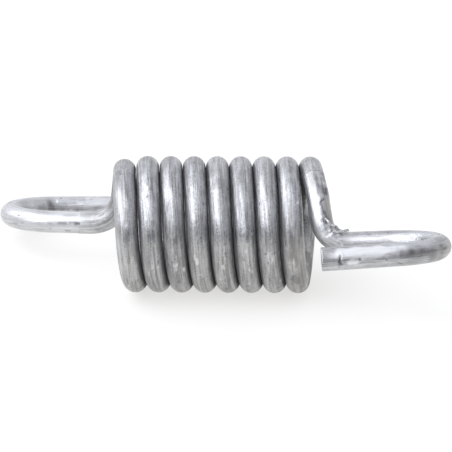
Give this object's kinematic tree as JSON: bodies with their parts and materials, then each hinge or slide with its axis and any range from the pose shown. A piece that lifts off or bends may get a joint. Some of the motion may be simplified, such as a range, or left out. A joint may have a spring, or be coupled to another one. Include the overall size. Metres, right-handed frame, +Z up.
{
  "type": "extension spring",
  "caption": "Close-wound extension spring of round steel wire, with an open hook bent out at each end for a pin, ring or eye to pull on.",
  "frame": {"origin": "on the surface that the spring lies on, under the middle of the coil's axis", "axes": "+X along the coil's axis, +Z up, -Y towards the side where the +X hook is bent out. The spring lies as it comes to rest: on its coil and on the end of the -X hook, so both hooks lean 17 degrees about the coil's axis."},
  "size_m": [0.0604, 0.0463, 0.018],
  "materials": {
    "plated_steel_wire": "bright zinc plating on drawn spring wire, satin, with lengthwise drawing lines and tool marks"
  },
  "bodies": {
    "root": {"spring_wire": "plated_steel_wire"}
  },
  "joints": []
}
